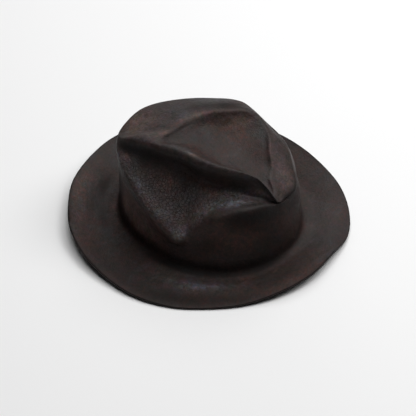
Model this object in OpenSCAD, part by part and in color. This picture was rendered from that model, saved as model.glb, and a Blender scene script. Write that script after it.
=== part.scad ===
// Leather fedora with a hand-crushed crown.
// One wet-moulded leather body carries a reeded leather sweatband, sewn in at the brim's root.
// Millimetres. The hat's front points to -Y, the wearer's right to -X, and it rests on its brim.

/* [Crown] */
// Outside length of the crown at the brim, front to back
crown_length = 210; // [200:1:220]
// Outside width of the crown at the brim
crown_width = 180; // [172:1:190]
// Height of the crown's top ridge above the brim's root
crown_height = 113; // [105:1:118]
// Squareness of the head oval, where 2 is an ellipse
oval_power = 2.15; // [2:0.05:2.3]

/* [Brim] */
// Width of the brim, as a share of its cut pattern
brim_reach = 1; // [0.85:0.01:1.05]
// Rise and fall of the brim, as a share of its moulded wave
brim_wave = 1; // [0.7:0.05:1.2]

/* [Leather] */
// Thickness of the moulded body
leather = 2.4; // [2:0.1:2.8]

/* [Sweatband] */
// Thickness of the sweatband leather
band_leather = 1.2; // [0.9:0.1:1.4]
// Height of the sweatband's top edge above the brim's root
band_top = 32; // [26:1:33]
// Diameter of the plastic reed in the sweatband's lower edge
reed_d = 2; // [1.6:0.1:2.2]
// Thickness of the tape folded round the reed
tape = 0.4; // [0.3:0.05:0.5]
// Diameter of the sewing thread
thread_d = 0.7; // [0.5:0.1:0.8]
// Number of stitches that hold the sweatband to the body
band_stitches_count = 144; // [60:4:180]

/* [Bow] */
// Width of the satin ribbon
ribbon_w = 7; // [5:0.5:9]
// Length of one loop of the bow
loop_l = 13; // [10:1:16]

/* [Size tab] */
// Width of the blank size tab
tab_w = 20; // [14:1:24]
// Height of the blank size tab
tab_h = 14; // [10:1:16]

/* [Hidden] */

$fn = 24;

// The pattern that the curves below are drawn on
PATTERN_LENGTH = 210;
PATTERN_WIDTH = 180;
PATTERN_HEIGHT = 113;

// Each curve runs once round the hat, as [angle from the front towards the wearer's right,
// distance from the crown's axis, height above the brim's root].

// Cut edge of the brim: snapped down at the right front, curled up behind
BRIM_EDGE = [[0, 152, 8], [15, 151, 5], [30, 150, 0], [45, 150, -2], [60, 153, -2], [75, 154, 0],
             [90, 153, 3], [105, 154, 8], [120, 155, 13], [135, 154, 16], [150, 157, 15],
             [165, 157, 17], [180, 159, 18], [205, 160, 16], [240, 156, 13], [270, 149, 11],
             [285, 149, 8], [300, 152, 5], [315, 154, 2], [330, 155, 1], [345, 151, 8]];

// Height of the brim at a third and at two thirds of its width, as [angle, share of width, height]
BRIM_INNER = [[0, 0.3, 1], [45, 0.3, 1], [90, 0.3, -2], [135, 0.3, -3], [180, 0.3, -1],
              [225, 0.3, -2], [270, 0.3, -2], [315, 0.3, -1]];
BRIM_OUTER = [[0, 0.6, 5], [45, 0.6, 2], [90, 0.6, -2], [120, 0.6, 1], [135, 0.6, 2],
              [180, 0.6, 8], [225, 0.6, 6], [270, 0.6, 4], [315, 0.6, 3]];

// Side wall, as [angle, share of the head oval's radius, height]
WALL_LOW = [[0, 0.985, 22], [66, 0.975, 17], [135, 0.985, 24], [180, 0.985, 26],
            [270, 0.985, 24]];
WALL_MID = [[0, 0.94, 46], [28, 0.88, 47], [48, 0.92, 38], [66, 0.95, 26], [95, 0.96, 38],
            [125, 0.95, 44], [150, 0.99, 48], [200, 0.97, 50], [250, 0.96, 50], [290, 0.97, 46],
            [325, 0.985, 40]];

// Lower crease of the dented right side, which sags to a point above the sweatband
LOWER_CREASE = [[340, 93, 49], [356, 93, 59], [7, 92, 66], [25, 91, 69], [40, 89, 64],
                [54, 89, 50], [66, 93, 35], [78, 93, 46], [90, 94, 58], [110, 95, 72],
                [128, 97, 82], [140, 99, 76], [160, 99, 72], [190, 96, 72], [230, 90, 72],
                [265, 90, 66], [300, 93, 58], [325, 94, 46]];

// Middle of the slack panel between the lower crease and the fold
SLACK_PANEL = [[340, 91, 53], [356, 89, 61], [7, 82, 67], [22, 72, 68], [37, 66, 65],
               [59, 64, 58], [75, 67, 60], [89, 73, 68], [106, 83, 78], [120, 92, 85],
               [132, 99, 88], [145, 101, 86], [160, 99, 86], [185, 90, 90], [220, 84, 90],
               [250, 83, 86], [275, 84, 78], [300, 90, 69], [325, 92, 54]];

// Bottom of the fold, where the slack panel turns up under the top ridge
FOLD_VALLEY = [[340, 89, 55], [356, 85, 63], [3, 76, 67], [13, 59, 67], [31, 44, 67],
               [59, 36, 71], [87, 37, 79], [105, 50, 86], [120, 68, 91], [132, 89, 92],
               [145, 99, 94], [160, 95, 97], [185, 82, 101], [215, 75, 100], [250, 77, 96],
               [275, 79, 86], [300, 87, 76], [325, 92, 58]];

// Ridge round the top of the crown, from the pinched front round both sides to the back
TOP_RIDGE = [[334, 98, 61], [345, 94, 62], [355.5, 93, 66], [359, 84, 81], [2, 74, 89],
             [12, 60, 93], [32, 51, 97], [58, 45, 100], [91, 45, 103], [108, 56, 106],
             [122, 67, 109], [134, 86, 106], [143, 95, 97], [156, 94, 101], [170, 88, 107],
             [199, 72, 108.5], [225, 67, 107.5], [252, 74, 106], [268, 73, 100], [285, 76, 88],
             [300, 83, 84], [318, 88, 77]];

// Inner edge of the ridge, where the top starts to dip into the dent
DENT_RIM = [[334, 67, 80], [346, 72, 77], [355.5, 87, 68], [359, 79, 79], [2, 68, 88],
            [12, 53, 93], [32, 43, 99], [58, 36, 103], [91, 36, 106], [108, 45, 108],
            [121, 56, 107], [133, 45, 111], [150, 34, 112], [180, 29, 112], [215, 31, 113],
            [255, 39, 113], [272, 54, 112], [281, 63, 105], [295, 64, 97], [320, 62, 89]];

// Shoulder between the ridge and the rim, as [angle, share of the ridge in its place, lift]
SHOULDER = [[0, 0.5, 3], [45, 0.5, 3], [90, 0.5, 2.5], [122, 0.5, 1], [136, 0.45, 1.5],
            [160, 0.35, 2], [240, 0.35, 3], [265, 0.4, 3], [290, 0.3, 2], [340, 0.3, 2]];

// Steep wall of the teardrop dent, and the dent's floor
DENT_WALL = [[355.5, 70, 75], [2, 54, 83], [12, 44, 88], [32, 33, 93], [58, 27, 97],
             [91, 26, 103], [108, 33, 104], [121, 42, 104], [140, 32, 105], [165, 25, 105],
             [190, 22, 102], [215, 24, 101], [255, 31, 101], [275, 44, 101], [290, 52, 95],
             [320, 50, 86], [340, 56, 79]];
DENT_FLOOR = [[0, 36, 84], [45, 18, 92], [90, 16, 96], [135, 18, 100], [180, 13, 98],
              [225, 13, 96], [270, 24, 95], [315, 30, 87]];

// Bottom of the dent, a small tilted disc that rises towards the wearer's right back
DENT_CENTRE = 94;
EYE_RADIUS = 6;
EYE_RISE = 1.6;
EYE_ANGLE = 135;

// Columns round the body, gathered towards the sharp pinch of the front
around = 72;
pinch_angle = 355.5;
gather = 26;
// Mesh steps between two control points of a column
steps = 2;

// Columns round the sweatband and the trim that follows it
band_around = 72;
// The sweatband hangs straight below this height, and its lower edge is level with the root
band_bend = 6;
band_bottom = -1.2;
// Space behind the sweatband, which takes the tape
band_gap = tape + 0.5;
// Heights at which the sweatband follows the crown's wall
band_heights = [band_bottom, band_bend, 13, 20, 26, band_top];
// Half of the open joint at the back of the sweatband, in degrees
joint_half = 0.25;

// Reed, just outside the foot of the sweatband
reed_z = 0;
tape_tail = 9;

// Heights of the two rows of stitches, and of the bow's knot
band_row_z = 5;
tape_row_z = 1.6;
bow_z = 11;

// Head oval

function oval(a, length, width) =
    pow(pow(abs(cos(a)) * 2 / length, oval_power) + pow(abs(sin(a)) * 2 / width, oval_power),
        -1 / oval_power);

function head_radius(a) = oval(a, crown_length, crown_width);

function pattern_radius(a) = oval(a, PATTERN_LENGTH, PATTERN_WIDTH);

// Smooth closed curve through its keys

function key(keys, i) =
    let (turn = floor(i / len(keys)))
    keys[i - turn * len(keys)] + [360 * turn, 0, 0];

function slope(keys, i) =
    let (run = key(keys, i + 1) - key(keys, i - 1))
    run / run[0];

function keys_before(keys, a) = len([for (k = keys) if (k[0] <= a) k]);

// Keys turned so that their angles rise from the first one
function unwrapped(keys) =
    let (low = min([for (k = keys) k[0]]), first = search(low, keys, 1)[0])
    [for (i = [0 : len(keys) - 1]) keys[(i + first) % len(keys)]];

function curve_at(keys, angle) =
    let (a = angle - 360 * floor(angle / 360),
         ordered = unwrapped(keys),
         i = keys_before(ordered, a) - 1,
         p = key(ordered, i),
         q = key(ordered, i + 1),
         h = q[0] - p[0],
         t = (a - p[0]) / h,
         value = (2 * pow(t, 3) - 3 * pow(t, 2) + 1) * p
               + (pow(t, 3) - 2 * pow(t, 2) + t) * h * slope(ordered, i)
               + (3 * pow(t, 2) - 2 * pow(t, 3)) * q
               + (pow(t, 3) - pow(t, 2)) * h * slope(ordered, i + 1))
    [value[1], value[2]];

// Columns of the body, as [radius, height] control points from the brim's edge to the centre

function on_crown(keys, a) =
    let (p = curve_at(keys, a))
    [p[0] * head_radius(a) / pattern_radius(a), p[1] * crown_height / PATTERN_HEIGHT];

function on_wall(keys, a) =
    let (p = curve_at(keys, a))
    [p[0] * head_radius(a), p[1] * crown_height / PATTERN_HEIGHT];

function brim_controls(a) =
    let (o = head_radius(a),
         edge = curve_at(BRIM_EDGE, a),
         inner = curve_at(BRIM_INNER, a),
         outer = curve_at(BRIM_OUTER, a),
         w = (edge[0] - pattern_radius(a)) * brim_reach,
         lift = brim_wave)
    [
        [o + w, edge[1] * lift],
        [o + 0.86 * w, (0.35 * outer[1] + 0.65 * edge[1]) * lift],
        [o + outer[0] * w, outer[1] * lift],
        [o + inner[0] * w, inner[1] * lift],
        [o + 0.12 * w + 2, 0],
        [o, 1.5],
        [o * 0.995, 11]
    ];

function crown_controls(a) =
    let (crease = on_crown(LOWER_CREASE, a),
         panel = on_crown(SLACK_PANEL, a),
         valley = on_crown(FOLD_VALLEY, a),
         ridge = on_crown(TOP_RIDGE, a),
         rim = on_crown(DENT_RIM, a),
         shoulder = curve_at(SHOULDER, a))
    [
        on_wall(WALL_LOW, a),
        on_wall(WALL_MID, a),
        crease - [0, 4],
        0.85 * crease + 0.15 * panel + [0, 3],
        panel,
        valley,
        (valley + ridge) / 2,
        ridge + [1, -3],
        rim + shoulder[0] * (ridge - rim) + [0, shoulder[1]],
        rim - [1, 0],
        on_crown(DENT_WALL, a),
        on_crown(DENT_FLOOR, a),
        [EYE_RADIUS, (DENT_CENTRE + EYE_RISE * cos(a - EYE_ANGLE)) * crown_height / PATTERN_HEIGHT],
        [0, DENT_CENTRE * crown_height / PATTERN_HEIGHT]
    ];

function outer_controls(a) = concat(brim_controls(a), crown_controls(a));

function control(p, i) =
    let (last = len(p) - 1)
    i < 0 ? 2 * p[0] - p[1] : i > last ? 2 * p[last] - p[last - 1] : p[i];

// The same controls moved through the leather, square to the column
function inner_controls(p) =
    [
        for (i = [0 : len(p) - 1])
            let (run = control(p, i + 1) - control(p, i - 1))
            i == len(p) - 1 ? p[i] - [0, leather] : p[i] - leather * [run[1], -run[0]] / norm(run)
    ];

// Uniform cubic spline through a column's controls
function spline(p, u) =
    let (i = min(floor(u), len(p) - 2), t = u - i)
    (pow(1 - t, 3) * control(p, i - 1)
     + (3 * pow(t, 3) - 6 * pow(t, 2) + 4) * p[i]
     + (1 + 3 * t + 3 * pow(t, 2) - 3 * pow(t, 3)) * p[i + 1]
     + pow(t, 3) * control(p, i + 2)) / 6;

function column(p) = [for (j = [0 : steps * (len(p) - 1) - 1]) spline(p, j / steps)];

function place(a, p) = [-p[0] * sin(a), -p[0] * cos(a), p[1]];

body_angles = [for (i = [0 : around - 1]) let (t = 360 * i / around) pinch_angle + t - gather * sin(t)];

body_columns = [
    for (a = body_angles)
        let (outside = outer_controls(a), inside = inner_controls(outside))
        [for (p = concat(column(outside), column(inside))) place(a, p)]
];

rows = len(body_columns[0]) / 2;
body_centre = DENT_CENTRE * crown_height / PATTERN_HEIGHT;

body_points = concat([for (c = body_columns) each c], [[0, 0, body_centre], [0, 0, body_centre - leather]]);

// The hat's origin: the middle of its outline, at the lowest point of the brim
low_corner = [for (k = [0 : 2]) min([for (p = body_points) p[k]])];
high_corner = [for (k = [0 : 2]) max([for (p = body_points) p[k]])];
rest_point = [(low_corner[0] + high_corner[0]) / 2, (low_corner[1] + high_corner[1]) / 2, low_corner[2]];

// Two triangles for the patch with these four corners, in order round it
function patch(a, b, c, d) = [[a, b, c], [a, c, d]];

function body_faces() =
    let (column_n = 2 * rows, top = around * column_n)
    [
        for (i = [0 : around - 1])
            let (here = i * column_n, next = ((i + 1) % around) * column_n)
            each concat(
                [for (j = [0 : rows - 2]) each patch(here + j, next + j, next + j + 1, here + j + 1)],
                [for (j = [rows : 2 * rows - 2]) each patch(here + j, here + j + 1, next + j + 1, next + j)],
                patch(here, here + rows, next + rows, next),
                [[here + rows - 1, next + rows - 1, top]],
                [[here + 2 * rows - 1, top + 1, next + 2 * rows - 1]]
            )
    ];

module hat_body() {
    color([0.19, 0.16, 0.155])
        translate(-rest_point)
            polyhedron(points = body_points, faces = body_faces(), convexity = 10);
}

// Inside wall of the crown, as [height, radius] up to the lower crease
function wall_table(a) =
    let (inside = inner_controls(outer_controls(a)))
    [for (u = [4.5 : 0.5 : 9.5]) let (p = spline(inside, u)) [p[1], p[0]]];

function wall_radius(a, z) = lookup(max(z, band_bend), wall_table(a));

// Sweatband

function band_outer(a, z) = wall_radius(a, z) - band_gap;

function band_inner(a, z) = band_outer(a, z) - band_leather;

function face_point(a, z) = place(a, [band_inner(a, z), z]);

// Closed ring, or open strip, through rings of points that run the same way round
module swept(sections, closed) {
    n = len(sections[0]);
    m = len(sections);
    last = m - (closed ? 1 : 2);
    sides = [
        for (i = [0 : last], j = [0 : n - 1])
            let (here = i * n, next = ((i + 1) % m) * n, k = (j + 1) % n)
            each patch(here + j, next + j, next + k, here + k)
    ];
    ends = closed ? [] : [[for (j = [0 : n - 1]) j], [for (j = [n - 1 : -1 : 0]) (m - 1) * n + j]];
    polyhedron(points = [for (s = sections) each s], faces = concat(sides, ends), convexity = 6);
}

// Section of the sweatband at one angle: up its outside, down its inside
function band_section(a) =
    [
        for (z = band_heights) place(a, [band_outer(a, z), z]),
        for (i = [len(band_heights) - 1 : -1 : 0])
            face_point(a, band_heights[i])
    ];

module sweatband() {
    span = 360 - 2 * joint_half;
    color([0.27, 0.17, 0.11])
        translate(-rest_point)
            swept([
                for (i = [0 : band_around])
                    band_section(180 + joint_half + span * i / band_around)
            ], false);
}

// Reed and its tape, both closed rings just outside the sweatband's foot

function reed_centre(a) = band_outer(a, 0) + tape + reed_d / 2 + 0.1;

function arc(centre, r, from, to, n) =
    [for (i = [0 : n]) let (t = from + (to - from) * i / n) centre + r * [cos(t), sin(t)]];

module reed() {
    color([0.86, 0.85, 0.80])
        translate(-rest_point)
            swept([
                for (i = [0 : band_around - 1])
                    let (a = 360 * i / band_around, centre = [reed_centre(a), reed_z])
                    [for (t = [0 : 45 : 315]) place(a, centre + reed_d / 2 * [cos(t), sin(t)])]
            ], true);
}

// Section of the tape: down behind the sweatband, round the reed and back
function tape_section(a) =
    let (centre = [reed_centre(a), reed_z],
         near = reed_d / 2 + 0.05,
         foot = [band_outer(a, band_bend) + 0.05, band_bend],
         top = [band_outer(a, tape_tail) + 0.05, tape_tail])
    [
        for (p = concat(
            [top, foot],
            arc(centre, near + tape, 180, 405, 5),
            arc(centre, near, 405, 180, 5),
            [foot + [tape, 0], top + [tape, 0]]
        )) place(a, p)
    ];

module reed_tape() {
    color([0.13, 0.12, 0.12])
        translate(-rest_point)
            swept([for (i = [0 : band_around - 1]) tape_section(360 * i / band_around)], true);
}

// Thread

// Straight length of thread between two points
module thread(from, to) {
    run = to - from;
    translate(from)
        rotate([0, acos(run[2] / norm(run)), atan2(run[1], run[0])])
            cylinder(h = norm(run), d = thread_d, $fn = 16);
}

// Row of stitches round the sweatband's face, each covering a share of its pitch
module stitch_row(z, count, share) {
    pitch = 360 / count;
    for (i = [0 : count - 1]) {
        a = 180 + pitch * (i + 0.5);
        lift = place(a, [-thread_d * 0.3, 0]);
        thread(face_point(a - share * pitch / 2, z) + lift, face_point(a + share * pitch / 2, z) + lift);
    }
}

module band_stitches() {
    color([0.08, 0.06, 0.05])
        translate(-rest_point)
            stitch_row(band_row_z, band_stitches_count, 0.7);
}

module tape_stitches() {
    color([0.45, 0.33, 0.24])
        translate(-rest_point)
            stitch_row(tape_row_z, band_stitches_count, 0.5);
}

// Joint at the back of the sweatband

// Slip of sheet that follows the sweatband, from one angle to another. stand is the distance
// from the sweatband's face to the near side of the sheet, less than 0 behind the sweatband.
module slip(from, to, low, high, stand, thickness) {
    columns = 8;
    swept([
        for (i = [0 : columns])
            let (a = from + (to - from) * i / columns, out = [-stand, 0], in = [-stand - thickness, 0])
            [
                for (z = [low, (low + high) / 2, high]) place(a, [band_inner(a, z), z] + out),
                for (z = [high, (low + high) / 2, low]) place(a, [band_inner(a, z), z] + in)
            ]
    ], false);
}

// Angle that a width covers on the back of the sweatband
function back_angle(width) = width / band_inner(180, band_bend) * 180 / PI;

back_tape_w = 12;
back_tape_low = tape_tail + 1;

module back_tape() {
    color([0.13, 0.12, 0.12])
        translate(-rest_point)
            slip(180 - back_angle(back_tape_w) / 2, 180 + back_angle(back_tape_w) / 2,
                 back_tape_low, band_top - 1, -band_leather - tape - 0.05, tape);
}

// Local frame on the back of the sweatband's face: x across, y up, z into the head opening
module on_back(z) {
    lean = atan2(band_inner(180, band_bend) - band_inner(180, band_top), band_top - band_bend);
    translate([0, band_inner(180, z), z])
        rotate([90 + lean, 0, 0])
            children();
}

// Zigzag of thread across the joint, above the bow
zigzag_pitch = 2.5;
zigzag_half = 2.2;

module back_stitches() {
    low = bow_z + ribbon_w / 2 + 1;
    count = floor((band_top - 1 - low) / zigzag_pitch);
    color([0.08, 0.06, 0.05])
        translate(-rest_point)
            on_back(low)
                for (i = [0 : count - 1]) {
                    y = zigzag_pitch * (i + 0.5);
                    side = i % 2 == 0 ? 1 : -1;
                    thread([-zigzag_half, y - side, thread_d * 0.3], [zigzag_half, y + side, thread_d * 0.3]);
                }
}

// Bow

// Thickness of the ribbon, and its distance from the sweatband's face
ribbon = 0.5;
bow_stand = 0.4;
// Depth of a loop at its end and at the knot
loop_h = 5;
root_h = 2.4;
// Width and depth of the wrap round the middle
knot_w = 5;
knot_h = 4;
tail_l = 14;
// Turn of each half of the bow, so that it follows the curve of the sweatband
bow_curl = 12;

module loop_outline(inset) {
    hull() {
        circle(d = root_h - 2 * inset);
        translate([loop_l - loop_h / 2, 0])
            circle(d = loop_h - 2 * inset);
    }
}

module bow_loop() {
    translate([root_h / 2, ribbon_w / 2, bow_stand + knot_h / 2])
        rotate([90, 0, 0])
            linear_extrude(height = ribbon_w)
                difference() {
                    loop_outline(0);
                    loop_outline(ribbon);
                }
}

// Tail of the bow: a slip of ribbon that hangs out and down from the knot, with a swallow-tail end
module bow_tail() {
    notch = ribbon_w / 3;
    start = knot_w / 2 + 0.3;
    translate([start, 1, bow_stand])
        rotate([0, 0, -20])
            linear_extrude(height = ribbon)
                polygon([[0, 0], [tail_l - notch, ribbon_w / 2 - 1], [tail_l, ribbon_w / 2 - 1],
                         [tail_l - notch, 0], [tail_l, 1 - ribbon_w / 2], [0, 1 - ribbon_w / 2]]);
}

module bow_ribbon() {
    color([0.10, 0.09, 0.09])
        translate(-rest_point)
            on_back(bow_z)
                for (side = [0, 1])
                    mirror([side, 0, 0])
                        rotate([0, -bow_curl, 0]) {
                            bow_loop();
                            bow_tail();
                        }
}

module knot_outline(inset) {
    offset(r = -inset)
        square([ribbon_w + 1.6, knot_h + 0.4], center = true);
}

module bow_knot() {
    color([0.12, 0.11, 0.11])
        translate(-rest_point)
            on_back(bow_z)
                translate([0, 0, bow_stand + knot_h / 2])
                    rotate([90, 0, 90])
                        linear_extrude(height = knot_w, center = true)
                            difference() {
                                knot_outline(0);
                                knot_outline(ribbon);
                            }
}

// Tacks that hold the foot of the knot to the sweatband
module bow_stitches() {
    tack = 1.6;
    y = -ribbon_w / 2 - 1.2;
    color([0.08, 0.06, 0.05])
        translate(-rest_point)
            on_back(bow_z)
                for (x = [-1.2, 1.2])
                    thread([x - tack / 2, y, thread_d * 0.3], [x + tack / 2, y, thread_d * 0.3]);
}

// Blank size tab, sewn to the sweatband's face beside the bow

tab_thickness = 0.6;
tab_middle = 214;
tab_low = 12;
tab_half = back_angle(tab_w) / 2;
tab_hem = 2;

module size_tab() {
    color([0.62, 0.52, 0.40])
        translate(-rest_point)
            slip(tab_middle - tab_half, tab_middle + tab_half, tab_low, tab_low + tab_h, 0.15, tab_thickness);
}

module tab_stitches() {
    stitch = back_angle(2.4);
    lift = 0.15 + tab_thickness + thread_d * 0.3;
    color([0.08, 0.06, 0.05])
        translate(-rest_point)
            for (side = [-1, 1], z = [tab_low + tab_hem, tab_low + tab_h - tab_hem]) {
                a = tab_middle + side * (tab_half - back_angle(tab_hem));
                rise = place(a, [-lift, 0]);
                thread(face_point(a - stitch / 2, z) + rise, face_point(a + stitch / 2, z) + rise);
            }
}

hat_body();
sweatband();
reed();
reed_tape();
tape_stitches();
band_stitches();
back_tape();
back_stitches();
bow_ribbon();
bow_knot();
bow_stitches();
size_tab();
tab_stitches();
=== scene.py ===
"""Looks of the moulded leather fedora: a fine leather body, a sewn sweatband and its trim."""
import math

import bpy
import numpy as np
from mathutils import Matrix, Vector, noise


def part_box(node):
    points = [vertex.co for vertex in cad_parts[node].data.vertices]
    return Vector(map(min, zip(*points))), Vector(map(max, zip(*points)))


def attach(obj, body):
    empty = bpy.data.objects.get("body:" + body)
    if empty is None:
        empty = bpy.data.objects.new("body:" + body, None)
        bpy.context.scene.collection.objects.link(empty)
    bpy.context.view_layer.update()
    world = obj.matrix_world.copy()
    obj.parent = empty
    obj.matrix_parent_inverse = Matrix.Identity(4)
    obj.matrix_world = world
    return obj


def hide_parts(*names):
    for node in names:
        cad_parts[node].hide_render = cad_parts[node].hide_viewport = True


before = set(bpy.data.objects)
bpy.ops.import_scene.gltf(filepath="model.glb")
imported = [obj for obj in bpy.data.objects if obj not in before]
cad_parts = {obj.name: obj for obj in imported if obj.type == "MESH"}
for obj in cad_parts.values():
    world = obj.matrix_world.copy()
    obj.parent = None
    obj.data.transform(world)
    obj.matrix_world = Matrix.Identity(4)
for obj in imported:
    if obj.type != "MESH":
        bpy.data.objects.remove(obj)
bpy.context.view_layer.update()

MM = 0.001

# ------------------------------------ shape of the leather body
# The same curves as the CAD model: [angle from the front towards the wearer's right,
# distance from the crown's axis, height above the brim's root], in millimetres.

CROWN_LENGTH, CROWN_WIDTH, OVAL_POWER = 210, 180, 2.15
LEATHER = 2.4

BRIM_EDGE = [
    (0, 152, 8), (15, 151, 5), (30, 150, 0), (45, 150, -2), (60, 153, -2), (75, 154, 0),
    (90, 153, 3), (105, 154, 8), (120, 155, 13), (135, 154, 16), (150, 157, 15), (165, 157, 17),
    (180, 159, 18), (205, 160, 16), (240, 156, 13), (270, 149, 11), (285, 149, 8), (300, 152, 5),
    (315, 154, 2), (330, 155, 1), (345, 151, 8)]
BRIM_INNER = [
    (0, 0.3, 1), (45, 0.3, 1), (90, 0.3, -2), (135, 0.3, -3), (180, 0.3, -1), (225, 0.3, -2),
    (270, 0.3, -2), (315, 0.3, -1)]
BRIM_OUTER = [
    (0, 0.6, 5), (45, 0.6, 2), (90, 0.6, -2), (120, 0.6, 1), (135, 0.6, 2), (180, 0.6, 8),
    (225, 0.6, 6), (270, 0.6, 4), (315, 0.6, 3)]
WALL_LOW = [(0, 0.985, 22), (66, 0.975, 17), (135, 0.985, 24), (180, 0.985, 26), (270, 0.985, 24)]
WALL_MID = [
    (0, 0.94, 46), (28, 0.88, 47), (48, 0.92, 38), (66, 0.95, 26), (95, 0.96, 38), (125, 0.95, 44),
    (150, 0.99, 48), (200, 0.97, 50), (250, 0.96, 50), (290, 0.97, 46), (325, 0.985, 40)]
LOWER_CREASE = [
    (340, 93, 49), (356, 93, 59), (7, 92, 66), (25, 91, 69), (40, 89, 64), (54, 89, 50),
    (66, 93, 35), (78, 93, 46), (90, 94, 58), (110, 95, 72), (128, 97, 82), (140, 99, 76),
    (160, 99, 72), (190, 96, 72), (230, 90, 72), (265, 90, 66), (300, 93, 58), (325, 94, 46)]
SLACK_PANEL = [
    (340, 91, 53), (356, 89, 61), (7, 82, 67), (22, 72, 68), (37, 66, 65), (59, 64, 58),
    (75, 67, 60), (89, 73, 68), (106, 83, 78), (120, 92, 85), (132, 99, 88), (145, 101, 86),
    (160, 99, 86), (185, 90, 90), (220, 84, 90), (250, 83, 86), (275, 84, 78), (300, 90, 69),
    (325, 92, 54)]
FOLD_VALLEY = [
    (340, 89, 55), (356, 85, 63), (3, 76, 67), (13, 59, 67), (31, 44, 67), (59, 36, 71),
    (87, 37, 79), (105, 50, 86), (120, 68, 91), (132, 89, 92), (145, 99, 94), (160, 95, 97),
    (185, 82, 101), (215, 75, 100), (250, 77, 96), (275, 79, 86), (300, 87, 76), (325, 92, 58)]
TOP_RIDGE = [
    (334, 98, 61), (345, 94, 62), (355.5, 93, 66), (359, 84, 81), (2, 74, 89), (12, 60, 93),
    (32, 51, 97), (58, 45, 100), (91, 45, 103), (108, 56, 106), (122, 67, 109), (134, 86, 106),
    (143, 95, 97), (156, 94, 101), (170, 88, 107), (199, 72, 108.5), (225, 67, 107.5), (252, 74, 106),
    (268, 73, 100), (285, 76, 88), (300, 83, 84), (318, 88, 77)]
DENT_RIM = [
    (334, 67, 80), (346, 72, 77), (355.5, 87, 68), (359, 79, 79), (2, 68, 88), (12, 53, 93),
    (32, 43, 99), (58, 36, 103), (91, 36, 106), (108, 45, 108), (121, 56, 107), (133, 45, 111),
    (150, 34, 112), (180, 29, 112), (215, 31, 113), (255, 39, 113), (272, 54, 112), (281, 63, 105),
    (295, 64, 97), (320, 62, 89)]
# Shoulder between the ridge and the dent's rim: share of the ridge in its place, and its lift
SHOULDER = [
    (0, 0.5, 3), (45, 0.5, 3), (90, 0.5, 2.5), (122, 0.5, 1), (136, 0.45, 1.5), (160, 0.35, 2),
    (240, 0.35, 3), (265, 0.4, 3), (290, 0.3, 2), (340, 0.3, 2)]
DENT_WALL = [
    (355.5, 70, 75), (2, 54, 83), (12, 44, 88), (32, 33, 93), (58, 27, 97), (91, 26, 103),
    (108, 33, 104), (121, 42, 104), (140, 32, 105), (165, 25, 105), (190, 22, 102), (215, 24, 101),
    (255, 31, 101), (275, 44, 101), (290, 52, 95), (320, 50, 86), (340, 56, 79)]
DENT_FLOOR = [
    (0, 36, 84), (45, 18, 92), (90, 16, 96), (135, 18, 100), (180, 13, 98), (225, 13, 96),
    (270, 24, 95), (315, 30, 87)]
# Bottom of the dent, a small tilted disc that rises towards the wearer's right back
DENT_CENTRE = 94
EYE_RADIUS, EYE_RISE, EYE_ANGLE = 6, 1.6, 135

# Columns are gathered towards the sharp pinch of the front
PINCH_ANGLE, GATHER = 355.5, 26


def closed_curve(keys, angles):
    """Smooth closed curve through its keys, as one row of values per angle."""
    k = np.array(sorted(keys), float)
    at = np.concatenate([k[:, 0] - 360, k[:, 0], k[:, 0] + 360])
    value = np.concatenate([k[:, 1:]] * 3)
    a = np.mod(angles, 360)
    i = np.searchsorted(at, a, side="right") - 1
    h = at[i + 1] - at[i]
    t = ((a - at[i]) / h)[:, None]
    slope_0 = (value[i + 1] - value[i - 1]) / (at[i + 1] - at[i - 1])[:, None] * h[:, None]
    slope_1 = (value[i + 2] - value[i]) / (at[i + 2] - at[i])[:, None] * h[:, None]
    return ((2 * t**3 - 3 * t**2 + 1) * value[i] + (t**3 - 2 * t**2 + t) * slope_0
            + (3 * t**2 - 2 * t**3) * value[i + 1] + (t**3 - t**2) * slope_1)


def head_oval(angles):
    c = np.abs(np.cos(np.radians(angles))) * 2 / CROWN_LENGTH
    s = np.abs(np.sin(np.radians(angles))) * 2 / CROWN_WIDTH
    return (c**OVAL_POWER + s**OVAL_POWER) ** (-1 / OVAL_POWER)


def outer_controls(angles):
    """Control points of each column, edge to centre: array [control, angle, (radius, height)]."""
    o = head_oval(angles)
    edge = closed_curve(BRIM_EDGE, angles)
    inner = closed_curve(BRIM_INNER, angles)
    outer = closed_curve(BRIM_OUTER, angles)
    low = closed_curve(WALL_LOW, angles)
    mid = closed_curve(WALL_MID, angles)
    crease = closed_curve(LOWER_CREASE, angles)
    panel = closed_curve(SLACK_PANEL, angles)
    valley = closed_curve(FOLD_VALLEY, angles)
    ridge = closed_curve(TOP_RIDGE, angles)
    rim = closed_curve(DENT_RIM, angles)
    shoulder = closed_curve(SHOULDER, angles)
    w = edge[:, 0] - o
    flat = np.ones_like(o)

    def pair(r, z):
        return np.stack([r * flat, z * flat], axis=1)

    return np.array([
        # brim, from its edge to its root
        edge,
        pair(o + 0.86 * w, 0.35 * outer[:, 1] + 0.65 * edge[:, 1]),
        pair(o + outer[:, 0] * w, outer[:, 1]),
        pair(o + inner[:, 0] * w, inner[:, 1]),
        pair(o + 0.12 * w + 2, 0),
        pair(o, 1.5),
        # wall
        pair(o * 0.995, 11),
        pair(o * low[:, 0], low[:, 1]),
        pair(o * mid[:, 0], mid[:, 1]),
        # lower crease, slack panel, fold and top ridge
        crease - [0, 4],
        0.85 * crease + 0.15 * panel + [0, 3],
        panel,
        valley,
        (valley + ridge) / 2,
        ridge + [1, -3],
        rim + shoulder[:, :1] * (ridge - rim) + shoulder[:, 1:] * [0, 1],
        # dent
        rim - [1, 0],
        closed_curve(DENT_WALL, angles),
        closed_curve(DENT_FLOOR, angles),
        pair(EYE_RADIUS, DENT_CENTRE + EYE_RISE * np.cos(np.radians(angles - EYE_ANGLE))),
        pair(0, DENT_CENTRE)])


def reflected(p):
    return np.concatenate([[2 * p[0] - p[1]], p, [2 * p[-1] - p[-2]]])


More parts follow.
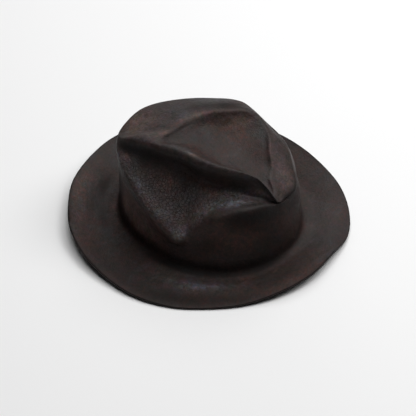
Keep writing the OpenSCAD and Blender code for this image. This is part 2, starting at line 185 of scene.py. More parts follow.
def inner_controls(p):
    """The same controls moved through the leather, square to the column."""
    q = reflected(p)
    run = q[2:] - q[:-2]
    side = np.stack([run[..., 1], -run[..., 0]], axis=-1)
    moved = p - LEATHER * side / np.linalg.norm(side, axis=-1, keepdims=True)
    moved[-1] = p[-1] - [0, LEATHER]
    return moved


def spline(p, u):
    """Uniform cubic spline through the controls, at each parameter in u."""
    q = reflected(p)
    i = np.minimum(np.floor(u).astype(int), len(p) - 2)
    t = (u - i)[:, None, None]
    return ((1 - t)**3 * q[i] + (3 * t**3 - 6 * t**2 + 4) * q[i + 1]
            + (1 + 3 * t + 3 * t**2 - 3 * t**3) * q[i + 2] + t**3 * q[i + 3]) / 6


def in_space(flat_points, angles):
    """[row, angle, (radius, height)] to [row, angle, (x, y, z)]."""
    r, z = flat_points[..., 0], flat_points[..., 1]
    rad = np.radians(angles)
    return np.stack([-r * np.sin(rad), -r * np.cos(rad), z], axis=-1)


def body_angles(count):
    t = np.arange(count) * 360 / count
    return PINCH_ANGLE + t - GATHER * np.sin(np.radians(t))


def box_middle(points):
    """Middle of a body's outline, at its lowest point: the place that rests on the row's origin."""
    low, high = points.reshape(-1, 3).min(axis=0), points.reshape(-1, 3).max(axis=0)
    return np.array([(low[0] + high[0]) / 2, (low[1] + high[1]) / 2, low[2]])


# Step from the curves' own origin, on the crown's axis, to the row's origin
CAD_COLUMNS, CAD_STEPS = 72, 2
cad_angles = body_angles(CAD_COLUMNS)
cad_outer = outer_controls(cad_angles)
cad_u = np.arange(0, len(cad_outer) - 1, 1 / CAD_STEPS)
cad_points = np.concatenate([
    in_space(spline(cad_outer, cad_u), cad_angles),
    in_space(spline(inner_controls(cad_outer), cad_u), cad_angles)])
body_low, body_high = (np.array(corner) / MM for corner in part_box("hat_body"))
body_foot = np.array([(body_low[0] + body_high[0]) / 2, (body_low[1] + body_high[1]) / 2, body_low[2]])
SHIFT = body_foot - box_middle(cad_points)


# ------------------------------------ meshes

def put_in_scene(name, data):
    """New object of this mesh, light or camera."""
    obj = bpy.data.objects.new(name, data)
    bpy.context.scene.collection.objects.link(obj)
    return obj


def new_object(name, points, faces):
    """Mesh object from points in millimetres in the curves' space."""
    mesh = bpy.data.meshes.new(name)
    mesh.from_pydata(((np.asarray(points) + SHIFT) * MM).tolist(), [], faces)
    mesh.validate()
    mesh.shade_smooth()
    return put_in_scene(name, mesh)


def grid_faces(rows, columns, closed_columns=True, closed_rows=False):
    """Quads between rows of points, row after row, each running the same way round."""
    faces = []
    for r in range(rows if closed_rows else rows - 1):
        here, above = r * columns, (r + 1) % rows * columns
        for c in range(columns if closed_columns else columns - 1):
            d = (c + 1) % columns
            faces.append((here + c, here + d, above + d, above + c))
    return faces


def set_attribute(obj, name, values):
    layer = obj.data.attributes.new(name, "FLOAT", "POINT")
    layer.data.foreach_set("value", np.asarray(values, np.float32).ravel())


def smooth_step(low, high, x):
    t = np.clip((x - low) / (high - low), 0, 1)
    return t * t * (3 - 2 * t)


def bell(x, width):
    return np.exp(-(x / width) ** 2)


def perlin(points, size, seed):
    """Gradient noise from -1 to 1 at each point, with features of about this size in millimetres."""
    offset = Vector((seed, seed * 1.7, seed * 0.6))
    return np.array([noise.noise(Vector(p) / size + offset) for p in points.reshape(-1, 3)]
                    ).reshape(points.shape[:-1])


def crackle(points, size, seed):
    """0 in the creases between leather cells of this size, rising inside each cell."""
    offset = Vector((seed, seed, seed))
    out = []
    for p in points.reshape(-1, 3):
        near = noise.voronoi(Vector(p) / size + offset)[0]
        out.append(near[1] - near[0])
    return np.array(out).reshape(points.shape[:-1])


def unit(vectors):
    return vectors / np.linalg.norm(vectors, axis=-1, keepdims=True)


def surface_normals(grid):
    """Unit normals of a grid [row, column, xyz] whose columns close up, on its outer side."""
    along = np.gradient(grid, axis=0)
    across = np.roll(grid, -1, axis=1) - np.roll(grid, 1, axis=1)
    n = np.cross(along, across)
    return n / np.maximum(np.linalg.norm(n, axis=-1, keepdims=True), 1e-9)


# ------------------------------------ leather body

COLUMNS = 520
# Rows between each two controls of a column, from the brim's edge to the crown's centre
SPAN_ROWS = [6] * 4 + [5] * 2 + [6] * 3 + [8] * 8 + [5] * 3
# How far the first row stays off the brim's edge and the last one off the centre, in rows
EDGE_INSET, POLE_INSET = 0.06, 0.04
EDGE_RADIUS = 0.8


def row_parameters(step):
    """The rows of the mesh as parameters of the spline, taking every so many of them."""
    u = [i + k / n for i, n in enumerate(SPAN_ROWS) for k in range(0, n, step)]
    return np.array([EDGE_INSET] + u[1:] + [len(SPAN_ROWS) - POLE_INSET])


RIDGE_ROW = 15

# Soft places of the hand-worked body: [angle, row, half of its angle, half of its rows, strength].
# Rows count the controls from the brim's edge (0) to the middle of the dent (20).
DIMPLES = [  # millimetres in, or out where less than 0
    (166, 15.0, 11, 0.5, 2.0), (140, 15.2, 7, 0.4, 0.8), (305, 2.6, 16, 0.8, 0.8),
    (66, 10.9, 10, 0.6, 1.2), (22, 2.2, 18, 0.7, 0.6),
    # creased edge of the front facet, and the groove behind it
    (322, 15.62, 27, 0.19, -1.1), (322, 16.2, 27, 0.3, 0.7),
    # creased back rim of the dent, and the groove below it
    (238, 15.95, 34, 0.17, -0.8), (178, 16.0, 26, 0.2, -0.6), (250, 16.4, 26, 0.25, 0.35),
    (150, 16.5, 28, 0.22, 0.8)]
PAINTED_LIGHT_AND_TONES = [  # mostly painted highlights and painted shade in hollows and under folds; partly leather rubbed lighter or darkened by gathered dye
    # painted light and shade on the crown's side: the slack panel, the hollow wall under its crease, and
    # the foot of the wall
    (110, 10.4, 15, 0.5, 0.8), (95, 10.1, 10, 0.5, 0.45), (68, 10.3, 24, 0.6, 0.6),
    (65, 9.6, 6, 0.5, 1.4), (52, 10.7, 10, 0.6, 0.8), (33, 10.9, 13, 0.45, 0.95),
    (15, 11.1, 11, 0.4, 1.1), (104, 11.4, 12, 0.5, -0.4), (122, 12.1, 12, 0.6, -1.0),
    (106, 9.2, 14, 0.25, -0.7), (92, 11.3, 6, 0.3, 0.5), (80, 10.2, 6, 0.4, 0.3),
    (105, 8.2, 18, 1.2, 1.1), (104, 6.9, 26, 0.9, 1.3), (16, 8.9, 20, 0.6, -1.3),
    (72, 8.7, 12, 0.6, 1.0), (123, 7.5, 7, 0.9, 1.3), (86, 9.6, 12, 0.7, 0.4),
    (38, 8.6, 8, 0.8, 0.4), (94, 8.6, 6, 0.5, 0.35), (55, 9.0, 7, 0.5, 0.4),
    (28, 9.6, 7, 0.5, -0.5), (25, 10.7, 7, 0.4, 0.4), (78, 11.7, 7, 0.3, -0.4),
    (108, 11.2, 6, 0.4, 0.4), (86, 7.4, 9, 0.6, 0.4), (36, 11.6, 18, 0.3, 0.5),
    (50, 11.0, 8, 0.4, 0.4), (44, 7.7, 8, 0.5, -0.4), (140, 4.4, 9, 0.6, 0.9),
    (122, 3.9, 8, 0.6, 0.4), (126, 11.3, 6, 0.5, 0.9), (2, 7.1, 14, 0.6, -0.5),
    (68, 4.7, 10, 0.4, -0.9), (15, 8.0, 26, 1.4, -0.6), (2, 8.8, 14, 0.9, -0.8),
    (340, 8.6, 14, 0.6, -0.6), (350, 9.7, 8, 0.6, -1.2), (26, 7.7, 14, 0.4, 0.3),
    (40, 5.4, 60, 0.7, -0.8), (42, 4.6, 34, 0.5, -1.4), (75, 4.5, 14, 0.4, -0.7),
    (10, 5.1, 12, 0.6, -0.7), (330, 10.2, 10, 1.0, -0.7), (128, 10.5, 6, 0.4, 0.9),
    (127, 11.3, 6, 0.4, 0.4),
    # painted shade and painted highlights in the fold under the top ridge
    (100, 13.0, 40, 0.8, -0.6), (40, 13.4, 40, 0.7, -0.3), (45, 11.9, 26, 0.4, 0.7),
    (15, 12.0, 14, 0.5, 1.0), (2, 12.7, 7, 0.5, 1.5), (123, 13.8, 5, 0.5, 0.95),
    (340, 13.8, 12, 0.3, -1.3), (134, 12.2, 7, 0.7, -0.4),
    # painted highlights and painted shade on the top ridge and in the dent
    (147, 14.5, 10, 0.6, 0.6), (158, 14.0, 15, 0.8, 1.3), (132, 15.2, 9, 0.8, 0.9),
    (75, 15.45, 12, 0.45, 1.4), (0.5, 14.5, 3.5, 0.6, -1.2), (7, 14.7, 5, 0.4, 0.5),
    (328, 14.9, 15, 1.0, 0.45), (336, 14.5, 12, 0.7, 0.6), (300, 15.1, 8, 0.5, 0.35),
    (250, 15.3, 14, 0.5, -0.5), (322, 15.6, 26, 0.18, 0.5), (325, 16.2, 24, 0.3, -0.05),
    (215, 17.0, 38, 0.6, 0.6), (262, 16.9, 28, 0.8, 0.8), (277, 16.7, 10, 0.8, 0.9),
    # dent's back rim: rubbed crest with a painted highlight, dull strip behind it and painted shade in
    # the crease below it
    (236, 15.98, 36, 0.2, 0.9), (172, 15.85, 24, 0.3, 0.7), (215, 15.2, 26, 0.4, -0.4),
    (203, 15.9, 14, 0.3, 0.8), (131, 15.9, 8, 0.35, 0.8), (222, 16.15, 16, 0.2, 0.6),
    (150, 16.5, 26, 0.2, -0.5), (205, 16.4, 18, 0.3, -0.1),
    # brim: painted highlights and painted shade
    (48, 2.5, 16, 0.5, 0.9), (138, 1.0, 22, 0.9, 1.2), (147, 0.5, 8, 0.5, 0.3),
    (137, 1.7, 8, 0.5, 0.3), (130, 3.0, 14, 0.5, -0.3), (68, 3.0, 14, 0.5, 0.4),
    (156, 2.6, 8, 0.5, -0.5), (55, 1.2, 24, 0.8, -0.6), (85, 1.2, 20, 0.6, -0.25),
    (30, 0.9, 12, 0.6, -0.25), (10, 2.0, 10, 0.7, -0.45)]
RUST = [  # redder, or less red where less than 0
    (288, 17.8, 9, 0.6, 0.7), (45, 16.4, 30, 0.5, 0.6), (80, 16.8, 12, 0.5, 0.7),
    (10, 0.8, 20, 0.9, 1.0), (34, 1.4, 12, 0.6, 0.6), (315, 1.5, 8, 0.9, 0.7),
    (26, 7.7, 14, 0.5, 0.6), (150, 1.2, 10, 0.6, 0.5), (325, 15.2, 12, 0.8, 0.3),
    (15, 8.3, 26, 1.2, 1.1), (45, 4.8, 40, 0.8, 0.5), (98, 11.3, 10, 0.4, 0.6),
    (132, 4.1, 14, 0.6, 0.6), (255, 16.9, 22, 0.6, -0.5), (160, 14.0, 16, 0.7, -0.5),
    (112, 7.5, 22, 1.0, -0.5), (147, 0.6, 18, 0.8, -0.2), (44, 7.7, 8, 0.5, -0.3),
    (276, 16.6, 14, 0.8, -0.9), (240, 16.3, 26, 0.4, -0.9), (55, 9.0, 8, 0.5, -0.4),
    (155, 15.8, 22, 0.4, 0.4), (197, 15.8, 14, 0.4, 0.5), (78, 11.7, 8, 0.4, 0.4),
    (60, 10.2, 44, 0.8, -0.5), (12, 11.0, 14, 0.6, -0.5), (290, 18.0, 60, 1.4, 0.6),
    (80, 17.8, 50, 1.2, 0.6), (112, 2.4, 14, 0.9, 0.4)]
SLATE = [  # blue-grey bloom, partly a painted bluish highlight, and glossier
    (180, 15.2, 14, 0.7, 0.9), (107, 10.6, 9, 0.45, 1.0), (48, 2.5, 16, 0.5, 1.0),
    (225, 14.2, 20, 0.5, 0.7), (33, 10.9, 14, 0.5, 0.9), (320, 2.2, 18, 1.0, 0.3),
    (300, 16.4, 12, 0.5, 0.6), (65, 9.7, 6, 0.5, 0.9), (15, 12.1, 16, 0.6, 0.9),
    (52, 10.6, 8, 0.5, 0.6), (80, 10.2, 8, 0.5, 0.6), (20, 10.9, 12, 0.5, 0.9),
    (128, 10.6, 7, 0.5, 0.8), (92, 10.6, 8, 0.5, 0.25)]


def soft_places(places, u, a):
    """Sum of the soft places at each row and angle."""
    total = np.zeros(np.shape(u))
    for angle, row, half_angle, half_rows, strength in places:
        aside = (a - angle + 180) % 360 - 180
        total += strength * bell(aside, half_angle) * bell(u - row, half_rows)
    return total


def panel_mask(u, a):
    """1 on the slack panel of the dented right side, fading out round it."""
    side = smooth_step(2, 22, a) * (1 - smooth_step(122, 150, a))
    low = np.where(a < 50, 10.3, 9.3)
    return side * smooth_step(low, low + 0.7, u) * (1 - smooth_step(11.6, 12.6, u))


def body_relief(points, u, a):
    """Height of the hand-worked leather over its smooth form, in millimetres."""
    lumps = 0.55 * perlin(points, 44, 3) + 0.3 * perlin(points, 19, 8)
    fine = 0.09 * perlin(points, 6, 15)
    height = lumps + fine - soft_places(DIMPLES, u, a)
    # Wrinkles and a finer net of creases where the leather hangs slack
    slack = panel_mask(u, a)
    worked = slack > 0.02
    warp = np.stack([perlin(points[worked], 14, s) for s in (21, 27, 33)], axis=-1) * 5
    folds = crackle((points[worked] + warp) * [1, 1, 1.5], 12, 4)
    net = crackle(points[worked] + warp, 7, 9)
    height[worked] -= slack[worked] * (0.5 * bell(folds, 0.13) + 0.32 * bell(net, 0.2))
    return height


def body_mesh():
    """The moulded leather: worked outside, rounded cut edge and smooth inside, as one closed mesh."""
    angles = body_angles(COLUMNS)
    outer = outer_controls(angles)
    inner = inner_controls(outer)
    u_out, u_in = row_parameters(1), row_parameters(3)
    top = in_space(spline(outer, u_out), angles)
    under = in_space(spline(inner, u_in), angles)
    turned = (angles + 180) % 360 - 180
    a_grid = np.broadcast_to(np.where(turned < -60, turned + 360, turned), top.shape[:2])
    u_grid = np.broadcast_to(u_out[:, None], top.shape[:2])
    normals = surface_normals(top)
    calm = smooth_step(0, 0.6, u_grid)  # the relief fades out at the cut edge
    top = top + normals * (body_relief(top, u_grid, a_grid) * calm)[..., None]

    # Rounded cut edge between the two faces
    edge_top, edge_low, within = (
        in_space(spline(controls, np.array([u])), angles)[0]
        for controls, u in ((outer, 0.0), (inner, 0.0), (outer, 0.2)))
    out, up = unit(edge_top - within), unit(edge_top - edge_low)
    turns = np.radians([90, 60, 30, 0, 0, -30, -60, -90])
    centres = [edge_top - (out + up) * EDGE_RADIUS] * 4 + [edge_low - (out - up) * EDGE_RADIUS] * 4
    rim = np.array([c + EDGE_RADIUS * (math.cos(t) * out + math.sin(t) * up)
                    for c, t in zip(centres, turns)])
    rough_cut = 0.25 * perlin(rim, 7, 40) + 0.12 * perlin(rim, 2.5, 44) - 0.3
    rim += out * rough_cut[..., None]

    grid = np.concatenate([top[::-1], rim, under])
    rows = len(grid)
    poles = np.array([top[-1].mean(axis=0), under[-1].mean(axis=0)])
    points = np.concatenate([grid.reshape(-1, 3), poles])
    faces = grid_faces(rows, COLUMNS)
    first, last = rows * COLUMNS, rows * COLUMNS + 1
    for c in range(COLUMNS):
        d = (c + 1) % COLUMNS
        faces.append((first, d, c))
        faces.append((last, (rows - 1) * COLUMNS + c, (rows - 1) * COLUMNS + d))
    body = new_object("leather_body", points, faces)

    # Values for the material: on the worked face, the cut edge, the inside and the dent's centre
    for name, worked, cut_edge, inside, centre in (
            ("wear", 0.5 * bell(u_grid - RIDGE_ROW, 0.9), 0, 0, 0),
            ("slack", panel_mask(u_grid, a_grid), 0, 0, 0),
            ("flesh", 0, 0.5, 1, 0),
            ("cut", bell(u_grid, 0.15), 1, 0, 0),
            # tone: painted highlights and painted shade, with some rubbed and dyed leather, as a
            # multiplier of the colour
            ("painted_light_and_tone", np.exp(soft_places(PAINTED_LIGHT_AND_TONES, u_grid, a_grid)), 1, 1, 1),
            ("rust", soft_places(RUST, u_grid, a_grid), 0, 0, 0),
            ("slate", soft_places(SLATE, u_grid, a_grid), 0, 0, 0)):
        set_attribute(body, name, np.concatenate([
            np.broadcast_to(worked, top.shape[:2])[::-1].ravel(),
            np.full(rim.shape[:2], cut_edge).ravel(),
            np.full(under.shape[:2], inside).ravel(),
            [centre, inside]]))
    return body


body = body_mesh()
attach(body, "root")
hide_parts("hat_body")


# ------------------------------------ inside of the hat
# Places on the sweatband: an angle round the hat, a height above the brim's root, and a stand
# off the sweatband's face towards the head, which is less than 0 inside the leather.

BAND_LEATHER, TAPE, REED_D = 1.2, 0.4, 2
BAND_BEND, BAND_TOP, BAND_SLACK = 6, 32, 0.5
BAND_GAP = TAPE + BAND_SLACK
BAND_CREASE_Z = 29.2
HOLE_DEPTH, SEAM_DIP, CREASE_DEPTH, BAND_WAVE = 0.35, 0.16, 0.3, 0.12
CLEAR = 0.05
JOINT_HALF = 0.25
STITCHES = 144
PITCH = 360 / STITCHES
TAPE_STITCH, BAND_STITCH = 0.5, 0.7  # share of the pitch that each row's stitches cover
THREAD_R, STITCH_RISE, STITCH_DIP, TWISTS = 0.35, 0.24, 0.5, 1.5
BAND_ROW_Z, TAPE_ROW_Z, BOW_Z = 5, 1.6, 11
BACK = 180


def wall_table(top):
    """Radius of the crown's inside wall at each whole degree and each millimetre of height."""
    degrees = np.arange(361)
    wall = spline(inner_controls(outer_controls(degrees)), np.arange(4.5, 10, 0.5))
    heights = np.arange(top + 1)
    return np.array([np.interp(heights, wall[:, i, 1], wall[:, i, 0]) for i in degrees])


WALL_TOP = 40
WALL = wall_table(WALL_TOP)


def face_radius(a, z):
    """Distance of the sweatband's face from the crown's axis, for arrays of angles and heights."""
    a = np.mod(a, 360)
    z = np.maximum(z, BAND_BEND)
    i, k = np.minimum(a.astype(int), 359), z.astype(int)
    s, t = a - i, z - k
    wall = ((1 - s) * ((1 - t) * WALL[i, k] + t * WALL[i, k + 1])
            + s * ((1 - t) * WALL[i + 1, k] + t * WALL[i + 1, k + 1]))
    return wall - BAND_GAP - BAND_LEATHER


def on_band(a, z, stand):
    """Points [..., xyz] for arrays of angles, heights and stands."""
    a, z, stand = np.broadcast_arrays(np.asarray(a, float), np.asarray(z, float), stand)
    rad = np.radians(a)
    r = face_radius(a, z) - stand
    return np.stack([-r * np.sin(rad), -r * np.cos(rad), z], axis=-1)


BACK_RADIUS = float(face_radius(np.array([float(BACK)]), np.array([float(BAND_BEND)]))[0])


def beside(middle, x):
    """Angle of a place x millimetres along the face from an angle."""
    return middle + np.degrees(np.asarray(x, float) / BACK_RADIUS)


def stacked(*values):
    """Arrays spread to one shape and stacked along a new last axis."""
    return np.stack(np.broadcast_arrays(*values), axis=-1)


def finished(obj, node, weave=None):
    """Puts a piece on the root body, hides the CAD node it stands for, and gives it its own flat
    coordinates when there are any.
    """
    if weave is not None:
        layer = obj.data.attributes.new("weave", "FLOAT_VECTOR", "POINT")
        layer.data.foreach_set("vector", np.asarray(weave, np.float32).ravel())
    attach(obj, "root")
    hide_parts(node)
    return obj


def joined(parts):
    """One list of points and one of faces from several (points, faces)."""
    points, faces, start = [], [], 0
    for part_points, part_faces in parts:
        points.append(part_points.reshape(-1, 3))
        faces += [tuple(start + v for v in f) for f in part_faces]
        start += len(points[-1])
    return np.concatenate(points), faces


def swept_faces(sections, around, closed):
    """Faces of a sweep of closed sections; an open sweep gets a face over each end."""
    faces = grid_faces(sections, around, closed_rows=closed)
    if not closed:
        last = (sections - 1) * around
        faces += [tuple(range(around - 1, -1, -1)), tuple(range(last, last + around))]
    return faces


def sheet_faces(rows, columns, closed_rows=False):
    """Faces of a closed solid between two equal grids, the front one first."""
    front = grid_faces(rows, columns, closed_columns=False, closed_rows=closed_rows)
    n = rows * columns
    faces = front + [tuple(n + v for v in reversed(f)) for f in front]
    count = rows if closed_rows else rows - 1
    sides = []
    for r in range(count):
        above = (r + 1) % rows * columns
        sides += [(above, r * columns), (r * columns + columns - 1, above + columns - 1)]
    if not closed_rows:
        last = (rows - 1) * columns
        for c in range(columns - 1):
            sides += [(c, c + 1), (last + c + 1, last + c)]
    return faces + [(v, n + v, n + w, w) for v, w in sides]


def sweatband():
    """Leather strip with rounded edges, a creased line under its top edge and sewing holes."""
    a = np.linspace(BACK + JOINT_HALF, BACK + 360 - JOINT_HALF, STITCHES * 8 + 1)
    half = BAND_LEATHER / 2
    # Heights down the face, close together at the crease and at the rows of stitches
    down = np.concatenate([
        np.arange(BAND_TOP - half, 28, -0.3), np.arange(27.5, 7.5, -2), np.arange(7, -0.7, -0.3)])
    turn = np.radians(np.arange(0, 181, 30))
    behind = down[::-1][4::4]
    z = np.concatenate([
        behind, down[0] + half * np.sin(turn), down[1:-1], down[-1] - half * np.sin(turn)])
    stand = np.concatenate([
        np.full(len(behind), -BAND_LEATHER), -half - half * np.cos(turn), np.zeros(len(down) - 2),
        -half + half * np.cos(turn)])
    face = stand > -0.3
    step = (a[:, None] - BACK) / PITCH - 0.5
    from_middle = np.abs(step - np.round(step)) * PITCH
    hole = bell(from_middle - BAND_STITCH / 2 * PITCH, 0.3) * bell(z - BAND_ROW_Z, 0.45)
    hole += bell(from_middle - TAPE_STITCH / 2 * PITCH, 0.3) * bell(z - TAPE_ROW_Z, 0.45)
    sewn = bell(z - BAND_ROW_Z, 1.3) + bell(z - TAPE_ROW_Z, 1.3)
    crease = bell(z - BAND_CREASE_Z, 0.35)
    wave = BAND_WAVE * np.sin(np.radians(a * 17))[:, None] * smooth_step(8, 20, z) * (z < BAND_TOP - 1)
    depth = HOLE_DEPTH * hole + SEAM_DIP * sewn + CREASE_DEPTH * crease + wave
    grid = on_band(a[:, None], z, stand - depth * face)
    obj = new_object("sweatband_leather", grid.reshape(-1, 3), swept_faces(len(a), len(z), False))
    weave = stacked(np.radians(a[:, None]) * BACK_RADIUS, z, 0)
    # Mask of the painted shade in the sewing holes and the pressed crease
    set_attribute(obj, "groove", np.broadcast_to(np.clip(hole + crease, 0, 1) * face, grid.shape[:2]))
    return finished(obj, "sweatband", weave)


def reed_tape():
    """Woven tape folded round the reed, with soft corners and a slack, wavy tail."""
    a = np.arange(0, 360, 0.5)
    reed_stand = -BAND_LEATHER - TAPE - REED_D / 2 - 2 * CLEAR
    near = REED_D / 2 + CLEAR
    turn = np.radians(np.arange(0, -226, -22.5))
    up = np.arange(9, 2.5, -1.0)
    against = -BAND_LEATHER - CLEAR
    outline = [np.stack([np.full(len(up), against), up], axis=1)]
    outline += [np.stack([reed_stand + r * np.cos(t), r * np.sin(t)], axis=1)
                for r, t in ((near + TAPE, turn), (near, turn[::-1]))]
    outline.append(np.stack([np.full(len(up), against - TAPE), up[::-1]], axis=1))
    stand, z = np.concatenate(outline).T
    tail = smooth_step(6, 9, z)
    wave = 0.25 * tail * np.sin(np.radians(a * 23))[:, None]
    grid = on_band(a[:, None], z + wave, stand)
    length = np.concatenate([[0], np.cumsum(np.hypot(np.diff(stand), np.diff(z)))])
    weave = stacked(np.radians(a[:, None]) * BACK_RADIUS, length, 0)
    obj = new_object("reed_tape_cloth", grid.reshape(-1, 3), swept_faces(len(a), len(z), True))
    return finished(obj, "reed_tape", weave)


def thread_row(name, node, ends, stand=0.0):
    """Twisted two-ply stitches. Each of the ends is (angle, height, angle, height)."""
    along, around = 15, 12
    ends = np.array(ends, float)
    s = np.linspace(0, 1, along)
    a = ends[:, 0, None] + (ends[:, 2] - ends[:, 0])[:, None] * s
    z = ends[:, 1, None] + (ends[:, 3] - ends[:, 1])[:, None] * s
    out = np.abs(2 * s - 1)
    middle = on_band(a, z, stand + STITCH_RISE - STITCH_DIP * out**6)
    run = unit(middle[:, -1] - middle[:, 0])
    inward = unit(-middle[:, along // 2] * [1, 1, 0])
    side = np.cross(run, inward)
    turn = np.radians(np.arange(around) * 360 / around)
    ply = 0.86 + 0.14 * np.cos(2 * (turn - 2 * math.pi * TWISTS * s[:, None]))
    r = (THREAD_R * ply * (1 - 0.35 * out**8)[:, None])[None, :, :, None]
    grid = (middle[:, :, None] + r * (np.cos(turn)[:, None] * inward[:, None, None]
                                      + np.sin(turn)[:, None] * side[:, None, None]))
    points, faces = joined([(g, swept_faces(along, around, False)) for g in grid])
    return finished(new_object(name, points, faces), node)


def round_row(z, share):
    """Ends of a full row of stitches round the sweatband."""
    middles = BACK + PITCH * (np.arange(STITCHES) + 0.5)
    half = share * PITCH / 2
    return [(m - half, z, m + half, z) for m in middles]


def ribbon_solid(grid, thickness):
    """Grids of a ribbon's two faces, from its middle as [along, across, (x, y, stand)]."""
    normal = unit(np.cross(np.gradient(grid, axis=0), np.gradient(grid, axis=1)))
    return grid - normal * thickness / 2, grid + normal * thickness / 2


def ribbon_part(grid_pair, closed=False):
    """Points on the sweatband and faces of a ribbon whose grids hold (x, y, stand) at the bow."""
    rows, columns = grid_pair[0].shape[:2]
    p = np.stack(grid_pair)
    placed = on_band(beside(BACK, p[..., 0]), BOW_Z + p[..., 1], p[..., 2])
    return placed, sheet_faces(rows, columns, closed)


def ribbon_length(x, y, stand, along, across):
    """Points and faces of an open length of ribbon, and its flat coordinates."""
    weave = stacked(along, across, 0)
    return ribbon_part(ribbon_solid(stacked(x, y, stand), RIBBON)), np.stack([weave, weave])


RIBBON_W, RIBBON, LOOP_L, TAIL_L = 7, 0.36, 13, 14
KNOT_W, KNOT_H, KNOT_STAND = 5, 4.4, 0.35


def bow_loop(side):
    """One loop, gathered into pleats where it enters the knot."""
    turn = np.radians(np.arange(6, 355, 6))[:, None]
    v = np.linspace(-1, 1, 15)[None, :]
    out = 0.5 - 0.5 * np.cos(turn)
    gather = np.exp(-out * LOOP_L / 2.6)
    x = 1.0 + LOOP_L * out * (1 - 0.03 * v**2)
    half = RIBBON_W / 2 * (1 - 0.36 * gather)
    pleat = 0.24 * np.cos(3 * math.pi * v) * gather
    stand = 3.0 + np.sin(turn) * (0.9 + 1.2 * out) + pleat - 0.18 * out * v**2
    return ribbon_length(side * x, half * v, stand, turn * 4.4, half * v)


def bow_tail(side):
    """One tail, which leaves the knot outwards and down and ends in a swallow-tail cut."""
    u = np.linspace(0, 1, 25)[:, None]
    v = np.linspace(-1, 1, 15)[None, :]
    notch = RIBBON_W / 3
    along = 1.5 + (TAIL_L - 1.5 - notch * (1 - np.abs(v))) * u
    half = RIBBON_W / 2 * (0.62 + 0.3 * smooth_step(0, 0.5, u))
    slope = math.radians(-22)
    across = half * v - 0.6
    x = along * math.cos(slope) - across * math.sin(slope) * 0.6
    y = along * math.sin(slope) + across * math.cos(slope)
    stand = 0.5 + 0.45 * np.sin(u * 5.0) ** 2 + 0.12 * np.cos(2.5 * math.pi * v) * (1 - u) ** 2
    return ribbon_length(side * x, y, stand, along, across)


def bow_knot():
    """Wrap of ribbon round the bow's middle, drawn in at its front and creased along its run."""
    turn = np.radians(np.arange(0, 360, 7.5))[:, None]
    v = np.linspace(-1, 1, 17)[None, :]
    c, s = np.cos(turn), np.sin(turn)
    y = (RIBBON_W / 2 + 0.5) * np.sign(c) * np.abs(c) ** 0.7
    middle = KNOT_STAND + KNOT_H / 2
    stand = middle + (KNOT_H / 2 + 0.5 * (1 - np.abs(v) ** 2)) * np.sign(s) * np.abs(s) ** 0.7
    x = KNOT_W / 2 * v * (0.82 + 0.18 * np.abs(c))
    stand = np.maximum(stand + 0.16 * np.cos(4.5 * math.pi * v) * s, 0.3)
    ring = stacked(x, y, stand)
    centre = np.array([0, 0, middle])
    inner = centre + (ring - centre) * [0.94, 0.87, 0.8]
    weave = stacked(turn * 3.4, x, 0)
    points, faces = ribbon_part((inner, ring), closed=True)
    obj = new_object("bow_knot_satin", points.reshape(-1, 3), faces)
    return finished(obj, "bow_knot", np.stack([weave, weave]))


def bow_ribbon():
    made = [make(side) for side in (-1, 1) for make in (bow_loop, bow_tail)]
    points, faces = joined([part for part, _ in made])
    weave = np.concatenate([w.reshape(-1, 3) for _, w in made])
    return finished(new_object("bow_ribbon_satin", points, faces), "bow_ribbon", weave)


TAB_MIDDLE, TAB_LOW, TAB_W, TAB_H, TAB_HEM = 214, 12, 20, 14, 2
TAB_STAND, TAB_THICK, TAB_CORNER = 0.15, 0.6, 2.2


def size_tab():
    """Blank leather tab with round corners, soft edges and a pressed line inside them."""
    t = np.linspace(-1, 1, 41)
    y = np.sign(t) * (1 - (1 - np.abs(t)) ** 1.5) * TAB_H / 2
    past = np.maximum(np.abs(y) - (TAB_H / 2 - TAB_CORNER), 0)
    half = TAB_W / 2 - TAB_CORNER + np.sqrt(np.maximum(TAB_CORNER**2 - past**2, 0))
    x = half[:, None] * np.linspace(-1, 1, 57)
    y = np.broadcast_to(y[:, None], x.shape)
    inside = np.minimum(half[:, None] - np.abs(x), TAB_H / 2 - np.abs(y))
    front = TAB_STAND + TAB_THICK * (0.45 + 0.55 * smooth_step(-0.1, 0.7, inside))
    front = front - 0.14 * bell(inside - 1.1, 0.25)
    p = np.stack([np.stack([x, y, stand], axis=-1) for stand in (front, np.full(x.shape, 0.12))])
    points = on_band(beside(TAB_MIDDLE, p[..., 0]), TAB_LOW + TAB_H / 2 + p[..., 1], p[..., 2])
    obj = new_object("size_tab_leather", points.reshape(-1, 3), sheet_faces(*x.shape))
    return finished(obj, "size_tab", p)


def joint_zigzag():
    """Ends of the stitches that cross the sweatband's joint, up from the bow."""
    low, pitch, half_width = BOW_Z + RIBBON_W / 2 + 1, 2.5, 2.2
    count = int((BAND_TOP - 1 - low) / pitch)
    ends = []
    for i in range(count):
        z, lean = low + pitch * (i + 0.5), 1 if i % 2 == 0 else -1
        ends.append((beside(BACK, -half_width), z - lean, beside(BACK, half_width), z + lean))
    return ends


def tacks():
    """Ends of the two stitches under the bow."""
    z = BOW_Z - RIBBON_W / 2 - 1.2
    return [(beside(BACK, x - 0.8), z, beside(BACK, x + 0.8), z) for x in (-1.2, 1.2)]


def tab_corners():
    """Ends of one stitch at each corner of the tab."""
    x = TAB_W / 2 - TAB_HEM
    return [(beside(TAB_MIDDLE, side * x - 1.2), z, beside(TAB_MIDDLE, side * x + 1.2), z)
            for side in (-1, 1) for z in (TAB_LOW + TAB_HEM, TAB_LOW + TAB_H - TAB_HEM)]


